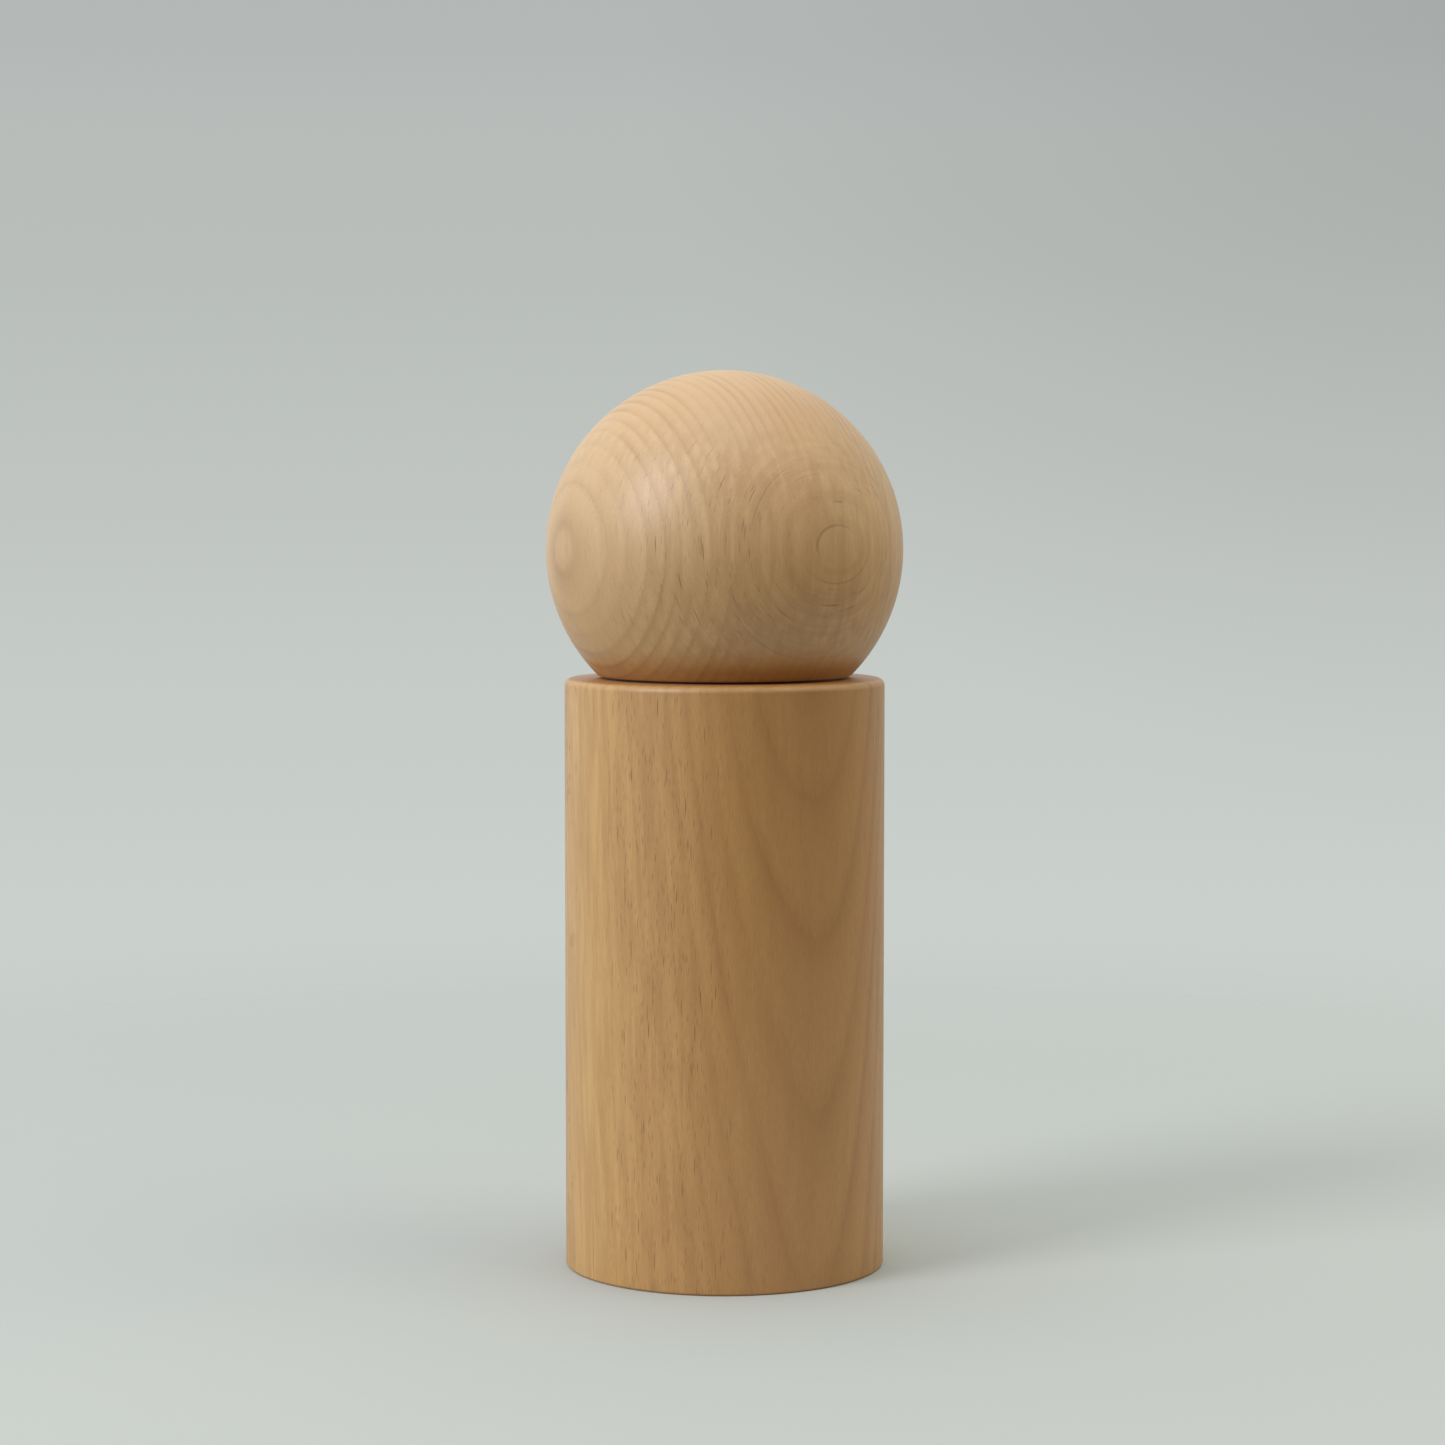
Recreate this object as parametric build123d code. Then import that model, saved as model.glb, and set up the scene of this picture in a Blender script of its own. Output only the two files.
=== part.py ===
"""Ball-headed spice mill: a turned beech ball and body around a ceramic burr mechanism.

Millimetres, +Z up. The origin is the centre of the base, on the surface the mill stands on.
Everything is built about the Z axis, from the base up, at its assembled place and at the coarsest
grind, where the adjusting knob rests on its stop. Turning the knob raises the rotor by grind_travel.
"""

from build123d import *
import os
from math import atan, cos, degrees, radians, sqrt

# ---- driving dimensions -------------------------------------------------------------------------

body_diameter = 58.0
body_height = 107.0
head_diameter = 64.6
head_centre_rise = 22.87  # ball centre above the ball's flat underside
seam_gap = 0.35  # between the body's top face and the ball's flat
body_top_round = 1.3
body_base_round = 0.5
head_edge_round = 0.45

shaft_side = 6.0
shaft_corner_round = 0.6
grind_travel = 1.2  # rotor lift from the coarsest grind to the finest

fit = 0.02  # clearance between pieces that are pressed or screwed together
running = 0.05  # radial clearance where one piece turns in another

# ---- heights, from the base up ------------------------------------------------------------------

shaft_foot = 1.7
stop_low, stop_top = 2.45, 2.95
flange_low, flange_top = 2.0, 3.45
flange_seat = flange_top + 0.05
nut_low, nut_top = 3.02, 7.0
knob_low, knob_top = 2.2, 7.55
snap_low, snap_top = 7.25, 8.45
rotor_low, rotor_top = 8.0, 19.0
thread_top = 9.5
key_top = 22.0
hub_top = 20.5
vane_top = 24.0
stator_low, stator_throat, stator_top = 8.6, 15.0, 19.95
stator_ledge = 20.0
spring_low, spring_top = 20.6, 28.85
clip_low, clip_top = 29.6, 30.2
bridge_seat, bridge_top = 33.0, 36.5
hub_foot = 31.0
bush_top = 37.5
shoulder = 38.1
housing_top = 38.0
hopper_floor = 38.5
collar_seat, collar_top = 95.0, 106.7
spigot_foot = 97.5
ring_height = 102.1
flat_height = body_height + seam_gap
flange_recess = 2.0
ball_centre = flat_height + head_centre_rise
socket_low, socket_top = 111.0, 130.0
catch_height = 121.9
shaft_top = 126.0

# ---- radii --------------------------------------------------------------------------------------

body_radius = body_diameter / 2
head_radius = head_diameter / 2
hopper_radius = 16.0
housing_bore = 20.5
flange_radius = 25.0
collar_bore, collar_radius = 14.5, 18.0
spigot_radius = 14.2
head_flange_radius = 21.0
sleeve_radius = 11.0
socket_radius = 7.0
journal_radius = shaft_side / 2
thread_radius = 2.45
key_flat = 2.4  # shaft axis to each of its two driving flats
stator_radius = 18.0
pocket_wall = 20.1
snap_groove = 18.9
stator_key_width = 3.0
shaft_passage = 4.6
bush_radius = 5.0
hub_radius = 7.0
hub_bore_wall = 7.2
bridge_radius, bridge_rim_bore = 17.5, 14.6
chamber_radius = 15.5
washer_radius = 6.0
knob_radius = 9.5
ring_seat_radius, ring_section = 12.35, 1.0

rotor_top_radius, rotor_low_radius = 9.2, 12.8
burr_slope = (rotor_low_radius - rotor_top_radius) / (rotor_top - rotor_low)
burr_lean = degrees(atan(burr_slope))
closed_burr_gap = 0.25

base_screw_circle, head_screw_circle = 22.9, 17.6
screw_angles = (90, 210, 330)


# ---- shapes shared by several pieces ------------------------------------------------------------


def rod(radius, low, high):
    """Cylinder about Z from one height to another."""
    return Pos(0, 0, low) * Cylinder(radius, high - low, align=(Align.CENTER, Align.CENTER, Align.MIN))


def tube(inner, outer, low, high):
    """Plain ring about Z."""
    return rod(outer, low, high) - rod(inner, low - 1, high + 1)


def cone(low_radius, high_radius, low, high):
    """Frustum about Z."""
    up = (Align.CENTER, Align.CENTER, Align.MIN)
    return Pos(0, 0, low) * Cone(low_radius, high_radius, high - low, align=up)


def block(x_size, y_size, low, high):
    """Box centred on the Z axis."""
    return Pos(0, 0, low) * Box(x_size, y_size, high - low, align=(Align.CENTER, Align.CENTER, Align.MIN))


def turned(outline):
    """Solid of revolution about Z of an outline of (radius, height) points."""
    points = [(radius, 0, height) for radius, height in outline]
    return revolve(make_face(Polyline(*points, close=True)), Axis.Z)


def around(shape, angles):
    """Copies of a shape turned about Z."""
    return [Rot(Z=angle) * shape for angle in angles]


def evenly(count, start=0.0):
    """Angles that share a full turn."""
    return [start + 360 * i / count for i in range(count)]


def round_edges_at(shape, radius, height, edge_radius):
    """Rounds the circular edges of one size at one height."""
    found = [
        edge
        for edge in shape.edges().filter_by(GeomType.CIRCLE)
        if abs(edge.arc_center.Z - height) < 0.01 and abs(edge.radius - radius) < 0.01
    ]
    return fillet(found, edge_radius)


def threaded_rod(crest, root, low, high, pitch):
    """Rod whose thread is drawn as ring-shaped ribs, one for each turn."""
    outline = [(0, low), (root, low)]
    for i in range(int((high - low) / pitch)):
        foot = low + i * pitch
        outline += [(root, foot + 0.15 * pitch), (crest, foot + 0.45 * pitch), (crest, foot + 0.6 * pitch)]
        outline += [(root, foot + 0.9 * pitch)]
    outline += [(root, high), (0, high)]
    return turned(outline)


def double_d(radius, flat, low, high):
    """Round bar with two flats facing +Y and -Y."""
    return rod(radius, low, high) & block(2 * radius + 1, 2 * flat, low, high)


# ---- countersunk wood screws --------------------------------------------------------------------

screw_shank, screw_root, screw_pitch = 1.1, 0.75, 0.95
screw_head_radius, screw_head_height = 2.2, 1.2
screw_length = 12.0
screw_tip = 2.0
pilot_radius = screw_shank + fit


def wood_screw():
    """Countersunk cross-head screw, its head's face at the origin and its point up."""
    neck = screw_head_height + 0.8
    head = cone(screw_head_radius, screw_shank, 0, screw_head_height)
    thread_end = screw_length - screw_tip
    shank = rod(screw_shank, screw_head_height, neck)
    shank += threaded_rod(screw_shank, screw_root, neck, thread_end, screw_pitch)
    shank += cone(screw_root, 0.1, thread_end, screw_length)
    slot = block(2.4, 0.55, -0.1, 0.9)
    return head + shank - slot - Rot(Z=90) * slot


def screw_group(circle, face_height):
    """Three separate screws on a circle, pointing up."""
    return Compound(around(Pos(circle, 0, face_height) * wood_screw(), screw_angles))


def clearance_holes(circle, face_height, depth):
    """What three countersunk screws take out of the piece that they hold."""
    sink = cone(screw_head_radius + 0.05, pilot_radius, 0, screw_head_height + 0.03)
    hole = Pos(circle, 0, face_height) * (sink + rod(pilot_radius, 0, depth))
    return around(hole, screw_angles)


def pilot_holes(circle, face_height, low):
    """What three screws take out of the wood, past the piece that they hold."""
    hole = Pos(circle, 0, 0) * rod(pilot_radius, low, face_height + screw_length + 0.3)
    return around(hole, screw_angles)


# ---- beech --------------------------------------------------------------------------------------


def body_shell():
    """Straight beech body, bored through: burr housing below, hopper, head collar above."""
    shell = rod(body_radius, 0, body_height)
    shell = round_edges_at(shell, body_radius, body_height, body_top_round)
    shell = round_edges_at(shell, body_radius, 0, body_base_round)
    shell -= rod(hopper_radius, -1, body_height + 1)
    shell -= rod(flange_radius + 0.1, -1, flange_seat)
    shell -= rod(housing_bore, -1, hopper_floor)
    shell -= rod(collar_radius, collar_seat, body_height + 1)
    shell = round_edges_at(shell, collar_radius, body_height, 0.4)
    shell = round_edges_at(shell, flange_radius + 0.1, 0, 0.4)
    return shell - pilot_holes(base_screw_circle, flange_low, flange_low)


def head_ball():
    """Beech ball with a flat underside, recessed and bored for the spigot."""
    ball = Pos(0, 0, ball_centre) * Sphere(head_radius)
    ball -= rod(head_diameter, ball_centre - head_diameter, flat_height)
    flat_radius = sqrt(head_radius**2 - head_centre_rise**2)
    ball = round_edges_at(ball, flat_radius, flat_height, head_edge_round)
    ball -= rod(head_flange_radius + fit, flat_height - 1, flat_height + flange_recess)
    ball -= rod(sleeve_radius + fit, flat_height, socket_top + 1.3)
    return ball - pilot_holes(head_screw_circle, flat_height, flat_height)


# ---- burr housing and what it holds -------------------------------------------------------------


grip_rib_angles = (15, 45, 75, 105, 135, 165, 195, 225, 255, 285, 315, 345)
coarseness_marks = {246: 0.45, 258: 0.57, 270: 0.69, 282: 0.81, 294: 0.93}  # angle: dimple's radius


def burr_housing():
    """Moulded can, pushed up into the body and screwed to it by its flange.

    A row of dimples that grow in size round the flange shows which way is coarser.
    """
    can = turned(
        [
            (stator_radius, flange_low),
            (flange_radius, flange_low),
            (flange_radius, flange_top),
            (pocket_wall, flange_top),
            (pocket_wall, housing_top),
            (bridge_radius + fit, housing_top),
            (bridge_radius + fit, bridge_seat),
            (chamber_radius, bridge_seat),
            (chamber_radius, stator_ledge),
            (stator_radius, stator_ledge),
            (stator_radius, snap_top + 0.05),
            (snap_groove, snap_top + 0.05),
            (snap_groove, snap_low - 0.05),
            (stator_radius, snap_low - 0.05),
        ]
    )
    grip_rib = Pos(pocket_wall, 0, 0) * block(0.7, 1.2, 6, 36)
    keyway = Pos(stator_radius, 0, 0) * block(1.8, stator_key_width + 0.1, flange_low - 1, stator_ledge)
    can += around(grip_rib, grip_rib_angles)
    can -= around(keyway, screw_angles)
    can -= clearance_holes(base_screw_circle, flange_low, 3)
    for angle, radius in coarseness_marks.items():
        can -= Rot(Z=angle) * Pos(base_screw_circle - 0.9, 0, flange_low) * Sphere(radius)
    return can


arm_width = 5.0
gusset_depth = 1.6


def bearing_bridge():
    """Rim, hub and two arms along Y, which hold the shaft's bush over the burrs.

    The spice falls through the two gaps beside the arms.
    """
    foot = bridge_seat + fit
    rim = tube(bridge_rim_bore, bridge_radius, foot, bridge_top)
    arms = block(arm_width, 2 * chamber_radius, foot, bridge_top)
    hub = rod(hub_bore_wall, hub_foot, bridge_top)
    half = arm_width / 2
    taper = make_face(
        Polyline((-half, 0), (half, 0), (0.6 * half, -gusset_depth), (-0.6 * half, -gusset_depth), close=True)
    )
    gussets = Pos(0, 0, foot) * Rot(X=90) * extrude(taper, chamber_radius - 0.7, both=True)
    bridge = rim + arms + hub + gussets
    return bridge - rod(bush_radius + fit, hub_foot - gusset_depth, bridge_top + 1)


def shaft_bush():
    """Flanged brass bush in the bridge's hub."""
    bush = rod(bush_radius, hub_foot, bridge_top + fit) + rod(6.6, bridge_top + fit, bush_top)
    return bush - rod(journal_radius + running, hub_foot - 1, bush_top + 1)


def burr_radius(height, lift=0.0):
    """Radius of the rotor's tooth tips at a height, with the rotor lifted."""
    return rotor_top_radius + burr_slope * (rotor_top + lift - height)


def burr_groove(mid_radius, low, high, width, depth, slant, skew):
    """V-shaped cutter along a burr's cone, its point towards the burr's body.

    slant is how far the cone leans from Z and skew turns the groove round the radius, in degrees.
    A positive depth points away from the axis, for a stator, and a negative one towards it.
    """
    length = (high - low) / cos(radians(slant)) + 4
    vee = make_face(Polyline((depth, 0), (-0.8 * depth, width), (-0.8 * depth, -width), close=True))
    prism = Pos(0, 0, -length / 2) * extrude(vee, length)
    return Pos(mid_radius, 0, (low + high) / 2) * Rot(Y=-slant) * Rot(X=skew) * prism


stator_mouth = 16.0


def burr_stator():
    """Ceramic outer burr: fine teeth below, a flared mouth with breaker grooves above."""
    low_tip = burr_radius(stator_low, grind_travel) + closed_burr_gap
    throat = burr_radius(stator_throat, grind_travel) + closed_burr_gap
    ring = rod(stator_radius - 0.05, stator_low, stator_top)
    ring += around(
        Pos(stator_radius - 1, 0, 0) * block(3.5, stator_key_width, stator_low + 0.4, stator_top - 0.9),
        screw_angles,
    )
    ring -= cone(low_tip, throat, stator_low, stator_throat)
    ring -= cone(throat, stator_mouth, stator_throat, stator_top)
    mouth_lean = degrees(atan((stator_mouth - throat) / (stator_top - stator_throat)))
    fine = burr_groove((low_tip + throat) / 2, stator_low, stator_throat, 0.75, 0.9, burr_lean, 0)
    breaker = burr_groove((throat + stator_mouth) / 2, stator_throat, stator_top, 1.6, 1.5, -mouth_lean, 14)
    ring -= around(fine, evenly(32))
    ring -= around(breaker, evenly(8))
    return ring


def stator_snap_ring():
    """Internal snap ring that keeps the stator up in its pocket, with two lugs for pliers."""
    ring = tube(16.3, snap_groove - 0.1, snap_low, snap_top)
    mouth = Pos(0, -17.5, 0) * block(7.0, 6, snap_low - 1, snap_top + 1)
    eye = Pos(17.6, 0, 0) * rod(0.55, snap_low - 1, snap_top + 1)
    return ring - mouth - around(eye, (-105.5, -74.5))


def body_collar():
    """Liner ring in the body's mouth, which the head's spigot turns in."""
    ring = tube(collar_bore, collar_radius - fit, collar_seat + fit, collar_top)
    return ring - cone(collar_bore, collar_bore + 1.6, collar_top - 1.2, collar_top + 0.4)


# ---- drive shaft and what turns with it ---------------------------------------------------------


def drive_shaft():
    """Square bar above its shoulder; journal, driving flats and thread below it."""
    bar = block(shaft_side, shaft_side, shoulder, shaft_top)
    bar = fillet(bar.edges().filter_by(Axis.Z), shaft_corner_round)
    bar &= rod(5, shoulder, shaft_top - 1.5) + cone(5, 2.6, shaft_top - 1.5, shaft_top)
    bar -= tube(3.55, 6, catch_height - 0.8, catch_height + 0.8)
    bar += rod(journal_radius, key_top, shoulder)
    bar -= tube(2.4, 6, clip_low - 0.05, clip_top + 0.05)
    bar += double_d(journal_radius, key_flat, thread_top, key_top)
    bar += threaded_rod(thread_radius, 2.05, stop_top + 0.05, thread_top, 0.8)
    bar += rod(1.8, shaft_foot, stop_top + 0.1) + rod(2.3, shaft_foot, stop_low - 0.05)
    return bar


def e_clip(shaft_groove, outer, low, high):
    """Open ring that snaps sideways onto a groove in the shaft."""
    ring = tube(shaft_groove + 0.02, outer, low, high)
    mouth = Pos(outer / 2, 0, 0) * block(outer + 0.4, 1.7 * shaft_groove, low - 1, high + 1)
    notch = Pos(-shaft_groove - 0.7, 0, 0) * block(1.6, 1.6, low - 1, high + 1)
    return ring - mouth - around(notch, (45, -45))


def shaft_clip():
    """Clip under the bridge, which keeps the shaft down and takes the spring's thrust."""
    return e_clip(2.4, 5.2, clip_low, clip_top)


def stop_clip():
    """Clip at the shaft's foot, which the adjusting nut rests on at the coarsest grind."""
    return e_clip(1.8, 3.5, stop_low, stop_top)


def thrust_washer():
    """Washer between the bush and the shaft's shoulder."""
    return tube(journal_radius + running, washer_radius, bush_top + running, shoulder - running)


def spring_washer():
    """Washer that the burr spring pushes up against."""
    return tube(journal_radius + running, washer_radius, spring_top + 0.1, clip_low - 0.1)


def burr_spring():
    """Compression spring that keeps the rotor down on the adjusting nut."""
    wire, coil_radius, turns = 0.5, 4.4, 5.0
    rise = spring_top - spring_low - 2 * wire
    path = Pos(0, 0, spring_low + wire) * Helix(pitch=rise / turns, height=rise, radius=coil_radius)
    section = Plane(path @ 0, z_dir=path % 0) * Circle(wire)
    coil = sweep(section, path=path, is_frenet=True)
    return coil + Pos(path @ 0) * Sphere(wire) + Pos(path @ 1) * Sphere(wire)


# ---- rotor --------------------------------------------------------------------------------------

hub_rib_angles = (30, 150, 270)


def burr_rotor():
    """Ceramic inner burr: a toothed cone, keyed on its hub."""
    rotor = cone(rotor_low_radius, rotor_top_radius, rotor_low, rotor_top)
    rotor -= rod(hub_radius + fit, rotor_low - 1, rotor_top + 1)
    slot = Pos(hub_radius, 0, 0) * block(2.0, 2.1, rotor_low - 1, rotor_top + 1)
    rotor -= around(slot, hub_rib_angles)
    mid_radius = (rotor_top_radius + rotor_low_radius) / 2
    groove = burr_groove(mid_radius, rotor_low, rotor_top, 0.85, -1.0, burr_lean, 20)
    rotor -= around(groove, evenly(20))
    return rotor


def rotor_hub():
    """Moulded hub that slides on the shaft's flats, with three vanes that feed the burrs."""
    hub = rod(hub_radius, rotor_low, rotor_top + fit) + rod(hub_radius - 0.1, rotor_top, hub_top)
    rib = Pos(hub_radius, 0, 0) * block(1.9, 2.0, rotor_low, rotor_top)
    vane = Pos(8.1, 0, 0) * Rot(X=18) * block(4.8, 1.7, -0.2, vane_top - rotor_top - 0.6)
    hub += around(rib, hub_rib_angles)
    hub += around(Pos(0, 0, rotor_top + 0.45) * vane, evenly(3, 90))
    hub -= rod(12, rotor_top - 1, rotor_top + fit) - rod(hub_radius, rotor_top - 2, rotor_top + 1)
    return hub - double_d(journal_radius + running, key_flat + running, rotor_low - 1, hub_top + 1)


# ---- grind adjuster -----------------------------------------------------------------------------


nut_flat = 4.0  # nut's axis to each of its six faces


def grind_knob():
    """Scalloped knob under the rotor, with a pocket for its nut and a pointer groove."""
    knob = rod(knob_radius, knob_low, knob_top)
    knob -= around(Pos(knob_radius + 1.1, 0, 0) * rod(1.9, knob_low - 1, knob_top - 1.2), evenly(10))
    knob -= rod(3.9, knob_low - 1, nut_low)
    pocket = RegularPolygon(nut_flat + fit, 6, major_radius=False)
    knob -= extrude(Pos(0, 0, nut_low - fit) * pocket, knob_top)
    return knob - Pos(6.6, 0, knob_low) * Rot(Y=90) * Cylinder(0.5, 3.2)


def adjuster_nut():
    """Brass hexagon nut in the knob, on the shaft's thread."""
    nut = extrude(Pos(0, 0, nut_low) * RegularPolygon(nut_flat, 6, major_radius=False), nut_top - nut_low)
    return nut - rod(thread_radius + running, nut_low - 1, nut_top + 1)


def detent_washer():
    """Thin washer between the knob and the rotor's hub."""
    return tube(3.2, 6.4, knob_top + 0.05, rotor_low - 0.1)


# ---- head ---------------------------------------------------------------------------------------


skirt_bore = 11.0


def head_spigot():
    """Moulded plug screwed into the ball: sleeve above, turning skirt with a lead-in below."""
    flange_top_face = flat_height + flange_recess - 0.05
    plug = rod(spigot_radius, spigot_foot, flat_height + 0.5)
    plug = round_edges_at(plug, spigot_radius, spigot_foot, 0.6)
    plug += rod(head_flange_radius - 0.1, flat_height, flange_top_face)
    plug += rod(sleeve_radius - fit, flat_height, socket_top + 1)
    plug -= rod(shaft_passage, spigot_foot - 1, socket_low + 1)
    plug -= rod(socket_radius + fit, socket_low, socket_top + 2)
    plug -= rod(skirt_bore, spigot_foot - 1, spigot_foot + 2.5)
    plug -= cone(skirt_bore, shaft_passage, spigot_foot + 2.5, spigot_foot + 11)
    plug -= tube(ring_seat_radius, 20, ring_height - 1.1, ring_height + 1.1)
    return plug - clearance_holes(head_screw_circle, flat_height, 3)


def drive_socket():
    """Aluminium sleeve with the square hole that the shaft drives, and a groove for the catch ring."""
    sleeve = rod(socket_radius, socket_low + fit, socket_top)
    side = shaft_side + 0.3
    square = block(side, side, socket_low - 1, socket_top + 1)
    lead_in = loft(
        [
            Pos(0, 0, socket_low) * Rectangle(side + 1.6, side + 1.6),
            Pos(0, 0, socket_low + 0.9) * Rectangle(side, side),
        ]
    )
    groove = rod(5.4, catch_height - 0.9, catch_height + 0.9)
    return sleeve - square - lead_in - groove


def catch_ring():
    """Open wire ring in the socket, which clicks into the shaft's groove and holds the head down."""
    ring = Pos(0, 0, catch_height) * Torus(4.6, 0.5)
    mouth = Pos(5, 0, 0) * block(5, 4.2, catch_height - 2, catch_height + 2)
    return ring - mouth


def spigot_o_ring():
    """Silicone ring that makes the head turn smoothly in the collar."""
    return Pos(0, 0, ring_height) * Torus(ring_seat_radius + ring_section + running, ring_section)


def glide_washer():
    """Slippery washer under the head's flange."""
    return tube(collar_bore + 0.1, 22.0, body_height + 0.05, flat_height - 0.05)


# ---- the parts ----------------------------------------------------------------------------------

parts = {
    "body_shell": body_shell,
    "body_collar": body_collar,
    "burr_housing": burr_housing,
    "housing_screws": lambda: screw_group(base_screw_circle, flange_low),
    "bearing_bridge": bearing_bridge,
    "shaft_bush": shaft_bush,
    "burr_stator": burr_stator,
    "stator_snap_ring": stator_snap_ring,
    "drive_shaft": drive_shaft,
    "thrust_washer": thrust_washer,
    "shaft_clip": shaft_clip,
    "spring_washer": spring_washer,
    "burr_spring": burr_spring,
    "stop_clip": stop_clip,
    "burr_rotor": burr_rotor,
    "rotor_hub": rotor_hub,
    "grind_knob": grind_knob,
    "adjuster_nut": adjuster_nut,
    "detent_washer": detent_washer,
    "head_ball": head_ball,
    "head_spigot": head_spigot,
    "drive_socket": drive_socket,
    "catch_ring": catch_ring,
    "spigot_o_ring": spigot_o_ring,
    "head_screws": lambda: screw_group(head_screw_circle, flat_height),
    "glide_washer": glide_washer,
}

os.makedirs("parts", exist_ok=True)
for node, make in parts.items():
    export_step(make(), f"parts/{node}.step")
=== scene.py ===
"""Ball-headed beech spice mill, standing on a pale seamless floor in soft light from the upper left."""

import math

import bmesh
import bpy
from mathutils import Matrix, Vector


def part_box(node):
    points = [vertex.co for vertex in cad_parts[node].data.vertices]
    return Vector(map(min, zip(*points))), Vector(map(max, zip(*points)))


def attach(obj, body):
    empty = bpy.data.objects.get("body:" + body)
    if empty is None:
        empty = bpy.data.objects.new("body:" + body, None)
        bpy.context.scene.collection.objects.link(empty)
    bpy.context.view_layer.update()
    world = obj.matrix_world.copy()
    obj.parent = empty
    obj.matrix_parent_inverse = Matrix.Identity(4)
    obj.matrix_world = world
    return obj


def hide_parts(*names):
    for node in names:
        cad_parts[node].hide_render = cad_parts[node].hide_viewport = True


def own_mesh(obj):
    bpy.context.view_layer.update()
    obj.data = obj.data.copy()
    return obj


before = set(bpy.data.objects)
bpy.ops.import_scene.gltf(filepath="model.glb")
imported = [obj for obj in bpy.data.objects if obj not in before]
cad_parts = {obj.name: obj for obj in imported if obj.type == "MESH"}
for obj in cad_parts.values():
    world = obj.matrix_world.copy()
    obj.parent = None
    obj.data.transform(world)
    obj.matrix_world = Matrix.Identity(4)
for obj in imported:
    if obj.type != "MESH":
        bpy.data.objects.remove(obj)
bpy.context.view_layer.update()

MM = 0.001


# ---- where things are, read from the frame ------------------------------------------------------


def low_z(node):
    """Height of a CAD node's foot."""
    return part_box(node)[0][2]


def high_z(node):
    """Height of a CAD node's top."""
    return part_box(node)[1][2]


body_height = high_z("body_shell")
body_radius = (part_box("body_shell")[1][0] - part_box("body_shell")[0][0]) / 2
head_flat = low_z("head_ball")
head_top = high_z("head_ball")


# ---- shading nodes ------------------------------------------------------------------------------


class Nodes:
    """A node tree, and short ways to add nodes to it."""

    def __init__(self, tree):
        self.tree = tree

    def add(self, kind, inputs=(), **settings):
        """A node of one kind; inputs are its sockets' values, or other nodes' outputs."""
        node = self.tree.nodes.new(kind)
        for name, value in settings.items():
            setattr(node, name, value)
        for key, value in dict(inputs).items():
            if isinstance(value, bpy.types.NodeSocket):
                self.tree.links.new(value, node.inputs[key])
            else:
                node.inputs[key].default_value = value
        return node

    def math(self, operation, a, b=0.0, clamp=False):
        """A sum or another operation on one or two numbers."""
        node = self.add("ShaderNodeMath", {0: a, 1: b}, operation=operation, use_clamp=clamp)
        return node.outputs[0]

    def vector(self, operation, a, b=(0, 0, 0)):
        """An operation on one or two vectors, which gives a number or a vector."""
        node = self.add("ShaderNodeVectorMath", {0: a, 1: b}, operation=operation)
        gives_number = operation in ("LENGTH", "DISTANCE", "DOT_PRODUCT")
        return node.outputs["Value" if gives_number else "Vector"]

    def combine(self, x=0.0, y=0.0, z=0.0):
        """A vector from its parts."""
        return self.add("ShaderNodeCombineXYZ", {0: x, 1: y, 2: z}).outputs[0]

    def split(self, vector):
        """A vector's three parts."""
        return self.add("ShaderNodeSeparateXYZ", {0: vector}).outputs

    def turn(self, vector, degrees, shift=(0, 0, 0)):
        """The vector turned about X, Y and Z, and then shifted."""
        angles = [math.radians(angle) for angle in degrees]
        node = self.add("ShaderNodeMapping", {"Vector": vector, "Rotation": angles, "Location": shift})
        return node.outputs[0]

    def noise(self, vector, size, detail=2.0, roughness=0.5, output=0):
        """Noise whose features are about size (x, y, z) across, from 0 to 1."""
        shrunk = self.vector("DIVIDE", vector, size)
        inputs = {"Vector": shrunk, "Scale": 1.0, "Detail": detail, "Roughness": roughness}
        return self.add("ShaderNodeTexNoise", inputs).outputs[output]

    def remap(self, value, low, high, new_low=0.0, new_high=1.0, kind="SMOOTHSTEP"):
        """A value that goes from new_low to new_high as the given one goes from low to high."""
        inputs = {"Value": value, 1: low, 2: high, 3: new_low, 4: new_high}
        return self.add("ShaderNodeMapRange", inputs, interpolation_type=kind).outputs[0]

    def ramp(self, value, stops, kind="LINEAR"):
        """A colour that runs through (position, colour) stops."""
        node = self.add("ShaderNodeValToRGB", {0: value})
        node.color_ramp.interpolation = kind
        elements = node.color_ramp.elements
        while len(elements) < len(stops):
            elements.new(1.0)
        for element, (position, colour) in zip(elements, stops):
            element.position = position
            element.color = (*colour, 1)
        return node.outputs[0]

    def mix(self, factor, a, b, blend="MIX"):
        """Two colours, given as tuples or as other nodes' outputs, blended by factor."""
        a, b = ((*c, 1) if isinstance(c, tuple) else c for c in (a, b))
        inputs = {0: factor, 6: a, 7: b}
        return self.add("ShaderNodeMix", inputs, data_type="RGBA", blend_type=blend).outputs[2]


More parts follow.
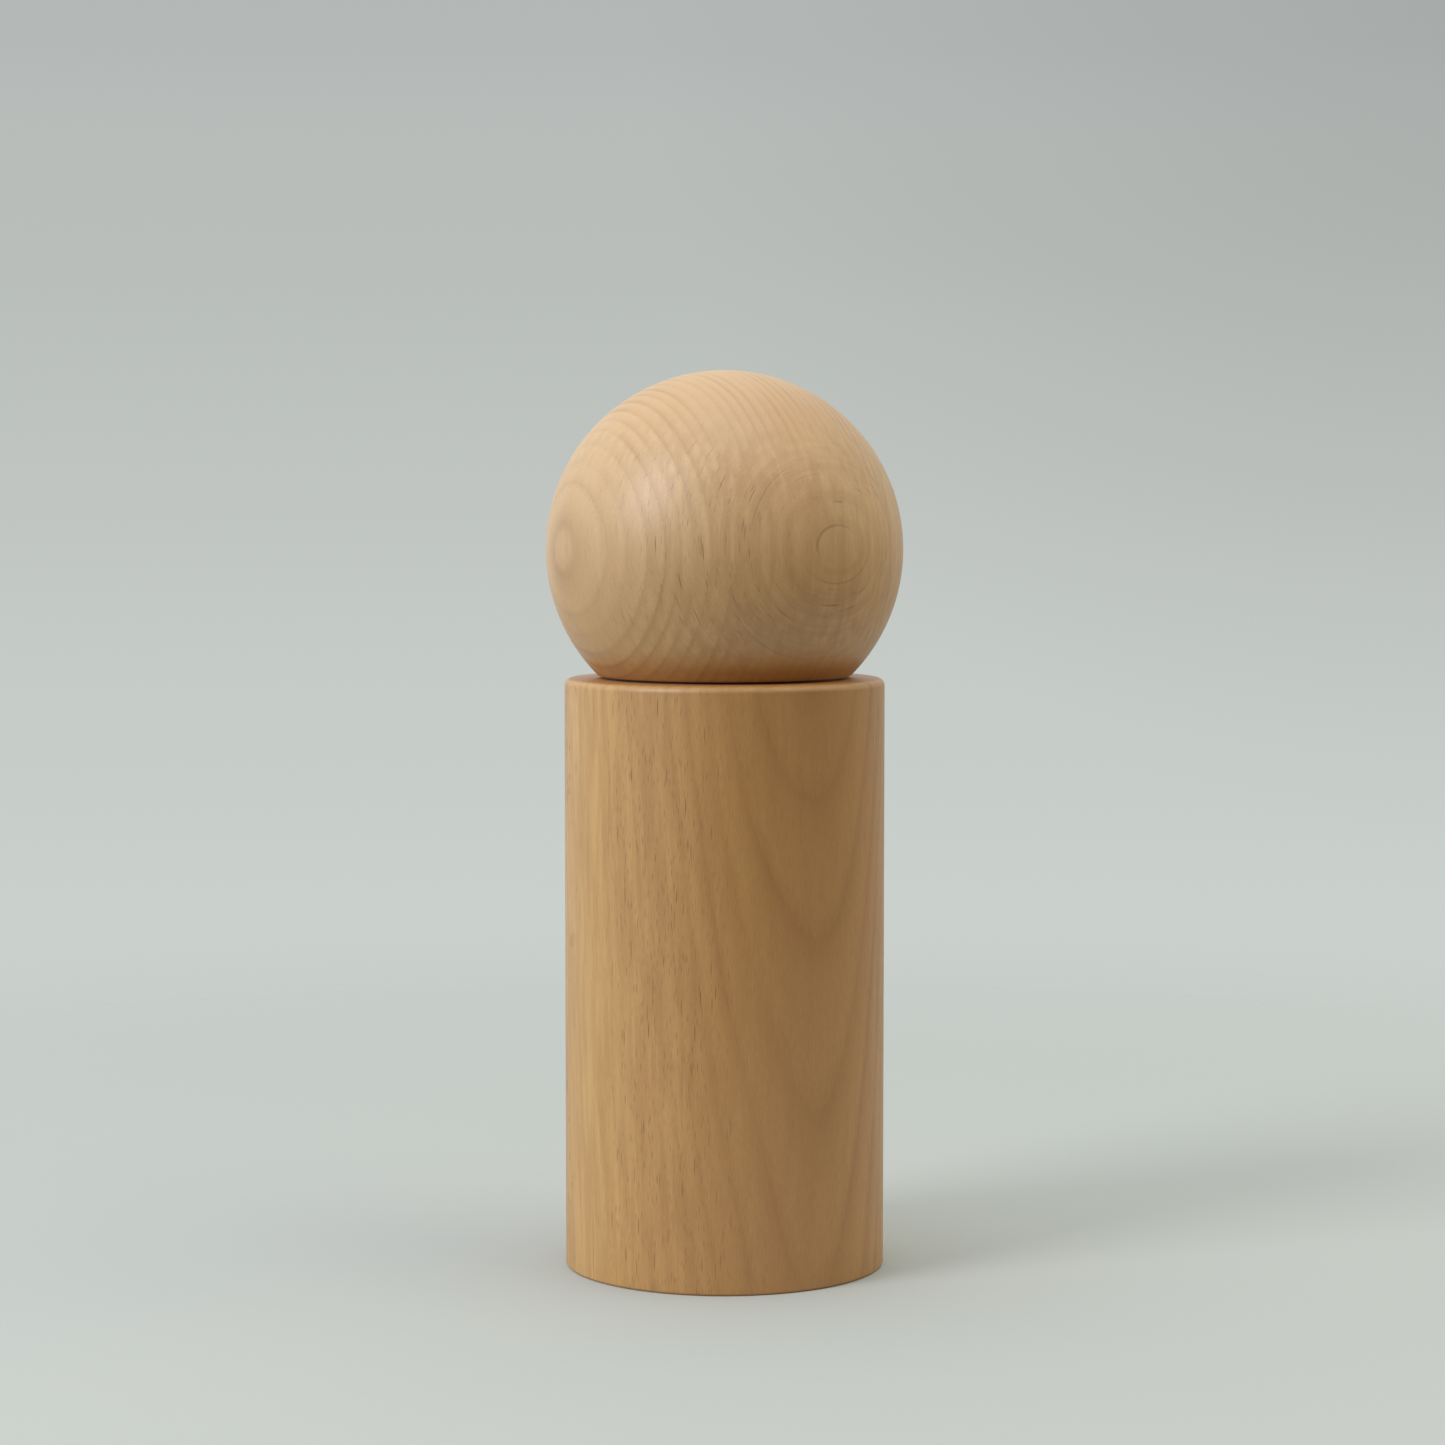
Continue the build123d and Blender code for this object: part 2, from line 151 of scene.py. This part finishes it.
class Shader(Nodes):
    """One material. Lengths are in millimetres of the object."""

    def __init__(self, name, **constants):
        self.material = bpy.data.materials.new(name)
        self.material.use_nodes = True
        super().__init__(self.material.node_tree)
        self.surface = self.tree.nodes["Principled BSDF"]
        for socket, value in constants.items():
            self.surface.inputs[socket.replace("_", " ")].default_value = value

    def place(self):
        """The point on the object, in millimetres of the shared frame."""
        coordinates = self.add("ShaderNodeTexCoord").outputs["Object"]
        return self.vector("MULTIPLY", coordinates, (1 / MM,) * 3)

    def paint(self, colour=None, roughness=None, height=None, depth=0.02):
        """Links what varies over the surface; depth is the height's full relief in millimetres."""
        if colour is not None:
            self.tree.links.new(colour, self.surface.inputs["Base Color"])
        if roughness is not None:
            self.tree.links.new(roughness, self.surface.inputs["Roughness"])
        if height is not None:
            bump = self.add("ShaderNodeBump", {"Height": height, "Distance": depth * MM, "Strength": 1.0})
            self.tree.links.new(bump.outputs[0], self.surface.inputs["Normal"])
        return self.material


# ---- beech --------------------------------------------------------------------------------------


RAY_TINT = (0.50, 0.38, 0.27)
VESSEL_TINT = (0.55, 0.45, 0.36)
# Painted shade: a darker, warmer colour for the faces that look down.
UNDERSIDE_PAINTED_SHADE = (0.85, 0.76, 0.60)


class Timber:
    """Where a point lies in the trunk that its piece was cut from, as shader values in millimetres.

    distance is measured from the pith, across around it and along up it. to_bark, to_ray and to_end
    run from 0 to 1 as the surface turns to look to the bark, along the rings or along the grain.
    """

    def __init__(self, shader, facing, pith, tilt):
        upright = shader.turn(shader.place(), (0, 0, 90 - facing))
        normal = shader.turn(shader.add("ShaderNodeTexCoord").outputs["Normal"], (0, 0, 90 - facing))
        directions = shader.split(normal)
        self.upward = directions[2]
        self.to_bark, self.to_ray, self.to_end = (shader.math("ABSOLUTE", part) for part in directions)
        leaning = shader.turn(upright, (tilt[0], tilt[1], 0), (pith, 0, 0))
        self.fibre = shader.noise(leaning, (0.14, 0.14, 4.0), 3.0)
        wander = 4.0
        sway = shader.noise(leaning, (38, 38, 120), 1.0, output=1)
        sway = shader.vector("SUBTRACT", sway, (0.5,) * 3)
        sway = shader.vector("MULTIPLY", sway, (wander, wander, 0))
        self.place = shader.vector("ADD", leaning, sway)
        outward, sideways, self.along = shader.split(self.place)
        self.distance = shader.vector("LENGTH", shader.combine(outward, sideways))
        self.across = shader.math("MULTIPLY", shader.math("ARCTAN2", sideways, outward), pith)


def yearly_rings(shader, timber, ring, phase, good_years, strength):
    """Share of dark late wood, from 0 to 1.

    feather is how far the fibres roughen a ring's edge, and unevenness how much the years differ.
    """
    feather, unevenness = 0.35, 0.9
    feathered = shader.math("ADD", timber.distance, shader.math("MULTIPLY", timber.fibre, feather))
    years = shader.math("DIVIDE", shader.math("SUBTRACT", feathered, phase), ring)
    uneven = shader.noise(shader.combine(timber.distance), (3.5 * ring, 1, 1), 1.0)
    years = shader.math("ADD", years, shader.math("MULTIPLY", uneven, unevenness))
    season = shader.math("FRACT", years)
    darkness = [(0.0, 0.45), (0.17, 0.0), (0.5, 0.15), (0.8, 0.6), (0.93, 1.0), (1.0, 0.45)]
    late_wood = shader.ramp(season, [(position, (level,) * 3) for position, level in darkness])
    run = shader.math("SUBTRACT", timber.distance, good_years)
    vigour = shader.noise(shader.combine(run, timber.along, timber.across), (2.2 * ring, 60, 25), 1.0)
    late_wood = shader.math("MULTIPLY", late_wood, shader.remap(vigour, 0.3, 0.7, 0.3, 1.15))
    on_face = shader.remap(timber.to_ray, 0.45, 0.95, strength, 0.3 * strength)
    return shader.math("MULTIPLY", late_wood, on_face, clamp=True)


def ribbons(shader, timber, streak):
    """Streaks along the grain, calmer on the faces that look to the bark and on the end grain."""
    near_bark = shader.remap(timber.to_bark, 0.6, 0.95, 0.0, 0.75)
    near_end = shader.remap(timber.to_end, 0.4, 0.85, 0.0, 0.9)
    least = shader.math("MULTIPLY", shader.math("MAXIMUM", near_bark, near_end), 0.5 * streak)
    most = shader.math("SUBTRACT", streak, least)
    return shader.remap(shader.noise(timber.place, (1.7, 1.7, 22), 2.0), 0.32, 0.68, least, most)


def layers(shader, timber):
    """Thin layers along the rays, which a face along the rays cuts into wide loops."""
    spots = shader.combine(timber.across, timber.along, timber.distance)
    sheets = shader.remap(shader.noise(spots, (0.5, 40, 40), 2.0), 0.38, 0.62)
    return shader.math("MULTIPLY", sheets, shader.remap(timber.to_ray, 0.7, 0.95, 0.0, 0.40))


def ray_flecks(shader, timber, size, kept, seed):
    """Medullary rays: thin upright lenses that all stand in planes through the pith, from 0 to 1.

    size is a lens's width, height and length towards the bark; kept is the share of them that shows.
    """
    cell_radius = 0.3
    spot = (timber.across, timber.along, timber.distance)
    cells = [shader.math("DIVIDE", value, long / (2 * cell_radius)) for value, long in zip(spot, size)]
    cells = shader.vector("ADD", shader.combine(*cells), (seed, 2.3 * seed, 4.1 * seed))
    voronoi = shader.add("ShaderNodeTexVoronoi", {"Vector": cells, "Scale": 1.0})
    inside = shader.remap(voronoi.outputs["Distance"], 0.6 * cell_radius, 1.2 * cell_radius, 1.0, 0.0)
    chance, depth, _ = shader.split(voronoi.outputs["Color"])
    chosen = shader.remap(chance, kept, kept + 0.01, 1.0, 0.0, "LINEAR")
    depth = shader.remap(depth, 0.0, 1.0, 0.45, 1.0)
    return shader.math("MULTIPLY", inside, shader.math("MULTIPLY", chosen, depth))


def medullary_rays(shader, timber, large_share, small_share):
    """Rays of three sizes, fainter where they lie flat in the face and where it cuts across them."""
    broad_share, broad_strength = 0.11, 0.55
    large = ray_flecks(shader, timber, (0.12, 3.4, 7.0), large_share, seed=3.0)
    small = ray_flecks(shader, timber, (0.09, 1.7, 3.0), small_share, seed=11.0)
    rays = shader.math("MAXIMUM", large, shader.math("MULTIPLY", small, 0.7))
    lying = shader.math("SUBTRACT", timber.to_end, timber.to_bark)
    fades = [
        shader.remap(lying, 0.0, 0.4, 1.0, 0.25),
        shader.remap(timber.to_ray, 0.93, 1.0, 1.0, 0.2),
        shader.remap(timber.to_end, 0.35, 0.7, 1.0, 0.1),
        shader.remap(timber.to_bark, 0.72, 0.97, 1.0, 0.3),
    ]
    for fade in fades:
        rays = shader.math("MULTIPLY", rays, fade)
    broad = ray_flecks(shader, timber, (0.07, 16.0, 30.0), broad_share, seed=19.0)
    broad = shader.math("MULTIPLY", broad, shader.remap(timber.to_ray, 0.6, 0.8, 0.0, broad_strength))
    return shader.math("MAXIMUM", rays, broad)


def face_tint_and_painted_light(shader, timber, flat, quarter, end):
    """How the colour turns with the way a face looks: the grain's own tint, mixed with painted light, paler
    and bluer on faces towards the window on the left and darker towards the front right, and painted shade
    on faces that look down.
    """
    face = shader.mix(shader.remap(timber.to_bark, 0.0, 1.0, kind="LINEAR"), quarter, flat)
    face = shader.mix(shader.remap(timber.to_end, 0.7, 1.0), face, end)
    # Painted shade: faces that look down are darkened and warmed, more the further they look down.
    painted_underside_shade = shader.remap(timber.upward, -0.65, 0.15, 1.0, 0.0)
    return shader.mix(painted_underside_shade, face, UNDERSIDE_PAINTED_SHADE, "MULTIPLY")


def beech(name, facing, pith, tilt, ring, phase, good_years, early, late, flat, quarter, end, streak,
          ring_strength, large_rays, small_rays):
    """Solid beech, cut from a trunk whose pith stands beside the piece.

    facing is the azimuth that the bark side looks to, 0 for the front and positive to the right;
    pith is the distance from the piece's axis to the trunk's, tilt leans the grain, and ring and
    phase are the yearly rings' width and offset, in millimetres and degrees. good_years moves the
    run of strongly marked rings towards the bark. flat, quarter and end tint the faces that look to
    the bark, along the rings and along the grain; with the facings given below, flat and quarter also
    paint light, paler and bluer on the faces towards the window on the left and darker on those
    towards the front right. streak and ring_strength are the figure's contrasts; large_rays and
    small_rays are the shares of the medullary rays that show.
    """
    shader = Shader(name, IOR=1.52, Specular_IOR_Level=0.8)
    timber = Timber(shader, facing, pith, tilt)
    late_wood = yearly_rings(shader, timber, ring, phase, good_years, ring_strength)
    rays = medullary_rays(shader, timber, large_rays, small_rays)
    vessels = shader.remap(shader.noise(timber.place, (0.09, 0.09, 1.6), 1.0), 0.60, 0.74)
    cloud = shader.noise(timber.place, (16, 16, 60), 2.0)

    colour = shader.mix(late_wood, early, late)
    colour = shader.mix(ribbons(shader, timber, streak), colour, late)
    colour = shader.mix(layers(shader, timber), colour, late)
    colour = shader.mix(shader.remap(cloud, 0.3, 0.7, 0.0, 0.35), colour, early)
    colour = shader.mix(shader.remap(timber.fibre, 0.25, 0.75, 0.20, 0.0), colour, late, "MULTIPLY")
    colour = shader.mix(shader.math("MULTIPLY", vessels, 0.22), colour, VESSEL_TINT, "MULTIPLY")
    colour = shader.mix(rays, colour, RAY_TINT, "MULTIPLY")
    # Grain-face tint with painted light: paler, bluer faces towards the window, darker faces towards the
    # front right, and painted shade on faces that look down.
    colour = shader.mix(1.0, colour, face_tint_and_painted_light(shader, timber, flat, quarter, end), "MULTIPLY")

    roughness = shader.remap(timber.fibre, 0.2, 0.8, 0.50, 0.40)
    pits = shader.math("MAXIMUM", rays, shader.math("MULTIPLY", vessels, 0.7))
    raised = shader.math("MULTIPLY", timber.fibre, 0.5)
    relief = shader.math("SUBTRACT", raised, shader.math("MULTIPLY", pits, 0.5))
    return shader.paint(colour, roughness, relief, depth=0.018)


# ---- the materials inside -----------------------------------------------------------------------


def ceramic(name):
    """Fired white ceramic with faint specks and the matt skin of a ground burr."""
    shader = Shader(name, IOR=1.55, Subsurface_Weight=0.05, Subsurface_Radius=(0.002, 0.0015, 0.001))
    place = shader.place()
    cloud = shader.noise(place, (3, 3, 3), 3.0)
    speck = shader.remap(shader.noise(place, (0.22,) * 3, 1.0), 0.70, 0.76)
    colour = shader.mix(cloud, (0.80, 0.78, 0.73), (0.70, 0.67, 0.61))
    colour = shader.mix(shader.math("MULTIPLY", speck, 0.35), colour, (0.30, 0.24, 0.18))
    grit = shader.noise(place, (0.12,) * 3, 3.0)
    return shader.paint(colour, shader.remap(cloud, 0.2, 0.8, 0.50, 0.64), grit, 0.02)


def moulding(name, dark, light, gloss, grain):
    """Injection-moulded plastic: a fine spark-eroded grain, and flow marks a shade apart.

    gloss is the roughness of its shiniest spots, and grain the spark-eroded grain's size.
    """
    shader = Shader(name, IOR=1.50)
    place = shader.place()
    flow = shader.noise(place, (9, 9, 4), 3.0)
    grit = shader.noise(place, (grain,) * 3, 2.0)
    colour = shader.mix(shader.remap(flow, 0.3, 0.7), dark, light)
    return shader.paint(colour, shader.remap(flow, 0.2, 0.8, gloss, gloss + 0.1), grit, 0.015)


def worked_metal(name, colour, shade, size, polish):
    """Metal with the marks of its making.

    size gives the marks' lengths along X, Y and Z, and polish the roughness of its shiniest spots.
    """
    shader = Shader(name, Metallic=1.0)
    place = shader.place()
    marks = shader.noise(place, size, 3.0, 0.6)
    dull = shader.noise(place, (4, 4, 6), 3.0)
    tint = shader.mix(shader.remap(dull, 0.35, 0.75), colour, shade)
    roughness = shader.math("ADD", shader.math("MULTIPLY", marks, 0.16), polish)
    return shader.paint(tint, roughness, marks, 0.006)


def silicone(name):
    """Soft grey silicone with a dusty skin."""
    shader = Shader(name, IOR=1.41)
    place = shader.place()
    dust = shader.noise(place, (0.8,) * 3, 4.0, 0.65)
    colour = shader.mix(shader.remap(dust, 0.4, 0.7), (0.075, 0.075, 0.08), (0.13, 0.13, 0.13))
    return shader.paint(colour, shader.remap(dust, 0.3, 0.7, 0.42, 0.62), dust, 0.01)


def finish_node(node, material):
    """Gives a CAD node its material, in every slot."""
    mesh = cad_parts[node].data
    for i in range(max(1, len(mesh.materials))):
        if i < len(mesh.materials):
            mesh.materials[i] = material
        else:
            mesh.materials.append(material)


# ---- turned pieces ------------------------------------------------------------------------------

AROUND = 256


def arc(centre, radius, start, end, steps):
    """Points (radius, height) along an arc in the outline's plane; angles in degrees from outward."""
    angles = [math.radians(start + (end - start) * i / steps) for i in range(steps + 1)]
    return [(centre[0] + radius * math.cos(a), centre[1] + radius * math.sin(a)) for a in angles]


def lathe(name, outline, material):
    """Closed mesh turned about Z from an outline; a point on the axis closes to one vertex."""
    mesh = bpy.data.meshes.new(name)
    made = bmesh.new()
    rings = []
    for radius, height in outline:
        count = AROUND if radius > 1e-9 else 1
        angles = [2 * math.pi * i / count for i in range(count)]
        rings.append([made.verts.new((radius * math.cos(a), radius * math.sin(a), height)) for a in angles])
    for lower, upper in zip(rings, rings[1:] + rings[:1]):
        for i in range(AROUND):
            j = (i + 1) % AROUND
            corners = [lower[i % len(lower)], lower[j % len(lower)]]
            corners += [upper[j % len(upper)], upper[i % len(upper)]]
            corners = list(dict.fromkeys(corners))
            if len(corners) > 2:
                made.faces.new(corners)
    bmesh.ops.recalc_face_normals(made, faces=made.faces)
    made.to_mesh(mesh)
    made.free()
    mesh.shade_smooth()
    mesh.set_sharp_from_angle(angle=math.radians(35))
    mesh.materials.append(material)
    piece = bpy.data.objects.new(name, mesh)
    bpy.context.collection.objects.link(piece)
    return piece


def turned_body(material):
    """The body with its rounded rims and its bores."""
    rim, foot, lip = 1.3 * MM, 0.5 * MM, 0.4 * MM
    flange, flange_seat = 25.1 * MM, 3.5 * MM
    housing, floor = 20.5 * MM, 38.5 * MM
    hopper, collar, collar_seat = 16.0 * MM, 18.0 * MM, 95.0 * MM
    outline = arc((body_radius - foot, foot), foot, -90, 0, 6)
    outline += arc((body_radius - rim, body_height - rim), rim, 0, 90, 12)
    outline += arc((collar + lip, body_height - lip), lip, 90, 180, 6)
    outline += [(collar, collar_seat), (hopper, collar_seat), (hopper, floor), (housing, floor)]
    outline += [(housing, flange_seat), (flange, flange_seat)]
    outline += arc((flange + lip, lip), lip, 180, 270, 6)
    piece = lathe("turned_body", outline, material)
    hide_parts("body_shell")
    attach(piece, "mill")


def turned_ball(material):
    """The ball with its flat, its eased lower edge, the flange's recess and the sleeve's bore."""
    radius = (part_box("head_ball")[1][0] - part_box("head_ball")[0][0]) / 2
    centre = head_top - radius
    ease = 1.0 * MM
    recess, recess_depth = 21.02 * MM, 2.0 * MM
    bore, bore_top = 11.02 * MM, 131.3 * MM
    ease_height = head_flat + ease
    ease_radius = math.sqrt((radius - ease) ** 2 - (centre - ease_height) ** 2)
    meet = math.degrees(math.atan2(ease_height - centre, ease_radius))
    outline = arc((ease_radius, ease_height), ease, -90, meet, 6)
    outline += arc((0, centre), radius, meet, 90, 96)[1:-1] + [(0, head_top)]
    outline += [(0, bore_top), (bore, bore_top), (bore, head_flat + recess_depth)]
    outline += [(recess, head_flat + recess_depth), (recess, head_flat)]
    piece = lathe("turned_ball", outline, material)
    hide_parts("head_ball")
    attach(piece, "head")


def coiled_spring(material):
    """Compression spring with closed ends, built at one length; nothing here shortens it as the rotor
    rises.
    """
    wire, sides = 0.5 * MM, 12
    low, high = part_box("burr_spring")[0][2] + wire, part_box("burr_spring")[1][2] - wire
    coil = (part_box("burr_spring")[1][0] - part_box("burr_spring")[0][0]) / 2 - wire
    turns, steps = 6.0, 288
    closed_rise = 2.2 * wire
    mesh = bpy.data.meshes.new("coiled_spring")
    made = bmesh.new()
    rings = []
    for i in range(steps + 1):
        turn = turns * i / steps
        open_share = min(max((turn - 1) / (turns - 2), 0), 1)
        ends = min(turn, 1) + max(turn - (turns - 1), 0)
        height = low + closed_rise * ends + (high - low - 2 * closed_rise) * open_share
        angle = 2 * math.pi * turn
        spoke = Vector((math.cos(angle), math.sin(angle), 0))
        ring = []
        for j in range(sides):
            side = 2 * math.pi * j / sides
            point = spoke * (coil + wire * math.cos(side)) + Vector((0, 0, height + wire * math.sin(side)))
            ring.append(made.verts.new(point))
        rings.append(ring)
    for lower, upper in zip(rings, rings[1:]):
        for j in range(sides):
            k = (j + 1) % sides
            made.faces.new((lower[j], lower[k], upper[k], upper[j]))
    made.faces.new(rings[0])
    made.faces.new(rings[-1])
    bmesh.ops.recalc_face_normals(made, faces=made.faces)
    made.to_mesh(mesh)
    made.free()
    mesh.shade_smooth()
    mesh.set_sharp_from_angle(angle=math.radians(50))
    mesh.materials.append(material)
    piece = bpy.data.objects.new("coiled_spring", mesh)
    bpy.context.collection.objects.link(piece)
    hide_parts("burr_spring")
    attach(piece, "drive")
    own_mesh(piece)


# ---- stage, lights and camera -------------------------------------------------------------------


def paper(colour, solid, gone, front):
    """Round floor of pale paper that fades into the backdrop between two distances from the mill.

    front holds where the paper begins and ends to fade on the side that faces the viewer.
    """
    mesh = bpy.data.meshes.new("paper")
    made = bmesh.new()
    bmesh.ops.create_circle(made, cap_ends=True, segments=128, radius=1.02 * gone)
    made.to_mesh(mesh)
    made.free()
    shader = Shader("paper", Roughness=0.9, Specular_IOR_Level=0.1)
    place = shader.place()
    fibres = shader.noise(place, (2.5, 2.5, 2.5), 3.0)
    shade = tuple(0.985 * c for c in colour)
    away = shader.vector("LENGTH", place)
    alpha = shader.remap(away, solid / MM, gone / MM, 1.0, 0.0)
    towards_front = shader.split(place)[1]
    alpha = shader.math("MULTIPLY", alpha, shader.remap(towards_front, front[1] / MM, front[0] / MM))
    shader.tree.links.new(alpha, shader.surface.inputs["Alpha"])
    mesh.materials.append(shader.paint(shader.mix(fibres, colour, shade)))
    floor = bpy.data.objects.new("paper", mesh)
    bpy.context.collection.objects.link(floor)


def soft_light(name, direction, distance, size, power, colour):
    """Rectangular soft box that looks at the mill from a direction, unseen by the camera."""
    data = bpy.data.lights.new(name, "AREA")
    data.shape = "RECTANGLE"
    data.size, data.size_y = size
    data.energy = power
    data.color = colour
    light = bpy.data.objects.new(name, data)
    middle = Vector((0, 0, head_top / 2))
    light.location = middle + direction * distance
    light.rotation_euler = (-direction).to_track_quat("-Z", "Y").to_euler()
    light.visible_camera = False
    bpy.context.collection.objects.link(light)


def looking(azimuth, elevation):
    """Direction from the mill; azimuth 0 is towards the front and 90 to the right, in degrees."""
    turn, rise = math.radians(azimuth), math.radians(elevation)
    return Vector((math.sin(turn) * math.cos(rise), -math.cos(turn) * math.cos(rise), math.sin(rise)))


def backdrop(seen, corner, axis, spread, bright, tint):
    """The room: a pale wall that the camera sees, and soft light that is brightest along axis.

    seen is a list of (elevation in degrees, colour); it paints the wall darker higher up, a painted
    shade. corner is the direction in which the wall's painted shade is darkest, how far off that
    ends, and how much of the wall's light is left there. The light grows from nothing to bright over
    spread, which holds two cosines of the angle from the axis.
    """
    world = bpy.data.worlds.new("room")
    world.use_nodes = True
    room = Nodes(world.node_tree)
    direction = room.add("ShaderNodeTexCoord").outputs["Generated"]
    heights = [math.sin(math.radians(elevation)) for elevation, _ in seen]
    low, high = heights[0], heights[-1]
    stops = [((height - low) / (high - low), colour) for height, (_, colour) in zip(heights, seen)]
    climb = room.remap(room.split(direction)[2], low, high, kind="LINEAR")
    wall = room.ramp(climb, stops, "CARDINAL")
    darkest, reach, left = corner
    # Painted shade: the wall darkens towards the corner direction.
    shade = room.remap(room.vector("DISTANCE", direction, darkest), 0.0, reach, left, 1.0, "LINEAR")
    plain = room.add("ShaderNodeBackground", {"Color": wall, "Strength": shade})

    strength = room.remap(room.vector("DOT_PRODUCT", direction, axis), *spread, 0.0, bright)
    sky = room.add("ShaderNodeBackground", {"Color": (*tint, 1), "Strength": strength})
    seen_directly = room.add("ShaderNodeLightPath").outputs["Is Camera Ray"]
    both = room.add("ShaderNodeMixShader", {0: seen_directly, 1: sky.outputs[0], 2: plain.outputs[0]})
    room.tree.links.new(both.outputs[0], room.tree.nodes["World Output"].inputs[0])
    bpy.context.scene.world = world


def camera(place, pitch, lens):
    """A level camera that looks along +Y, tipped down by pitch degrees."""
    data = bpy.data.cameras.new("camera")
    data.lens = lens
    data.sensor_width = 36
    data.clip_start = 0.01
    view = bpy.data.objects.new("camera", data)
    view.location = place
    view.rotation_euler = (math.radians(90 - pitch), 0, 0)
    bpy.context.collection.objects.link(view)
    bpy.context.scene.camera = view


# ---- the mill -----------------------------------------------------------------------------------

body_beech = beech(
    "beech_body",
    facing=32,
    pith=150,
    tilt=(1.0, 4.0),
    ring=2.1,
    phase=1.25,
    good_years=2.1,
    early=(0.70, 0.388, 0.131),
    late=(0.507, 0.245, 0.070),
    # Painted light: flat darkens the bark faces, which look to the front right, as painted shade; quarter
    # makes the faces towards the window paler and bluer.
    flat=(0.78, 0.73, 0.655),
    quarter=(1.02, 1.13, 1.24),
    end=(0.80, 0.74, 0.70),
    streak=0.7,
    ring_strength=1.1,
    large_rays=0.12,
    small_rays=0.55,
)
head_beech = beech(
    "beech_head",
    facing=-62,
    pith=242,
    tilt=(-2.5, 0.0),
    ring=1.85,
    phase=-0.4,
    good_years=0.0,
    early=(0.768, 0.484, 0.229),
    late=(0.548, 0.306, 0.127),
    # Painted light: flat makes the bark faces, which look to the window on the left, paler and bluer as a
    # painted sheen; quarter darkens the faces towards the front right as painted shade.
    flat=(1.00, 1.08, 1.18),
    quarter=(0.95, 0.90, 0.82),
    end=(0.96, 0.99, 1.03),
    streak=0.6,
    ring_strength=1.05,
    large_rays=0.12,
    small_rays=0.22,
)
white_ceramic = ceramic("white_ceramic")
black_moulding = moulding(
    "black_moulding", (0.012, 0.012, 0.013), (0.022, 0.022, 0.023), gloss=0.42, grain=0.10
)
pale_moulding = moulding(
    "pale_moulding", (0.68, 0.65, 0.57), (0.74, 0.71, 0.64), gloss=0.34, grain=0.25
)
drawn_aluminium = worked_metal(
    "drawn_aluminium", (0.80, 0.81, 0.82), (0.72, 0.73, 0.75), size=(0.08, 0.08, 9), polish=0.22
)
spring_steel = worked_metal(
    "spring_steel", (0.55, 0.56, 0.58), (0.44, 0.45, 0.47), size=(0.3, 0.3, 0.05), polish=0.20
)
screw_steel = worked_metal(
    "screw_steel", (0.62, 0.62, 0.60), (0.50, 0.51, 0.52), size=(0.2, 0.2, 0.2), polish=0.28
)
turned_brass = worked_metal(
    "turned_brass", (0.78, 0.56, 0.27), (0.62, 0.42, 0.19), size=(2, 2, 0.06), polish=0.20
)
grey_silicone = silicone("grey_silicone")

finishes = {
    "body_collar": pale_moulding,
    "burr_housing": black_moulding,
    "housing_screws": screw_steel,
    "bearing_bridge": black_moulding,
    "shaft_bush": turned_brass,
    "burr_stator": white_ceramic,
    "stator_snap_ring": spring_steel,
    "drive_shaft": drawn_aluminium,
    "thrust_washer": spring_steel,
    "shaft_clip": spring_steel,
    "spring_washer": spring_steel,
    "stop_clip": spring_steel,
    "burr_rotor": white_ceramic,
    "rotor_hub": black_moulding,
    "grind_knob": black_moulding,
    "adjuster_nut": turned_brass,
    "detent_washer": spring_steel,
    "head_spigot": pale_moulding,
    "drive_socket": drawn_aluminium,
    "catch_ring": spring_steel,
    "spigot_o_ring": grey_silicone,
    "head_screws": screw_steel,
    # The glide washer is given black moulding so that the seam between the ball and the body shows dark:
    # painted shade in the seam.
    "glide_washer": black_moulding,
}
for node, material in finishes.items():
    finish_node(node, material)
turned_body(body_beech)
turned_ball(head_beech)
coiled_spring(spring_steel)

paper((0.503, 0.514, 0.478), solid=0.17, gone=0.5, front=(-0.15, -0.26))
# The wall is painted darker higher up and towards one corner at the top right: painted shade.
wall_colours = [
    (-15, (0.60, 0.63, 0.60)),
    (-8.0, (0.595, 0.631, 0.604)),
    (-5.4, (0.578, 0.617, 0.591)),
    (-1.1, (0.539, 0.571, 0.546)),
    (3.1, (0.489, 0.519, 0.495)),
    (6.9, (0.458, 0.482, 0.472)),
    (30, (0.36, 0.38, 0.37)),
]
wall_painted_shade_corner = (looking(168, 7.5), 0.23, 0.84)
sky_spread = (-0.93, 1.26)
backdrop(wall_colours, wall_painted_shade_corner, looking(-142, 56), sky_spread, bright=1.09, tint=(0.95, 1.005, 1.01))
lights = [  # name, azimuth and elevation, distance, size, power, colour
    ("window", (-54, 35), 1.3, (0.45, 0.75), 7.4, (1.01, 0.99, 1.05)),
    ("ceiling", (20, 84), 1.5, (0.9, 0.9), 2.0, (0.45, 0.85, 1.5)),
    ("right_wall", (105, 18), 1.2, (0.5, 0.5), 0.9, (1.25, 0.88, 0.35)),
    ("right_lamp", (70, 50), 1.2, (0.8, 0.8), 2.4, (1.08, 0.97, 0.65)),
]
for name, direction, distance, size, power, colour in lights:
    soft_light(name, looking(*direction), distance, size, power, colour)
camera(place=(-0.00038, -0.640, 0.1418), pitch=3.84, lens=88.05)
bpy.context.scene.view_settings.view_transform = "Standard"
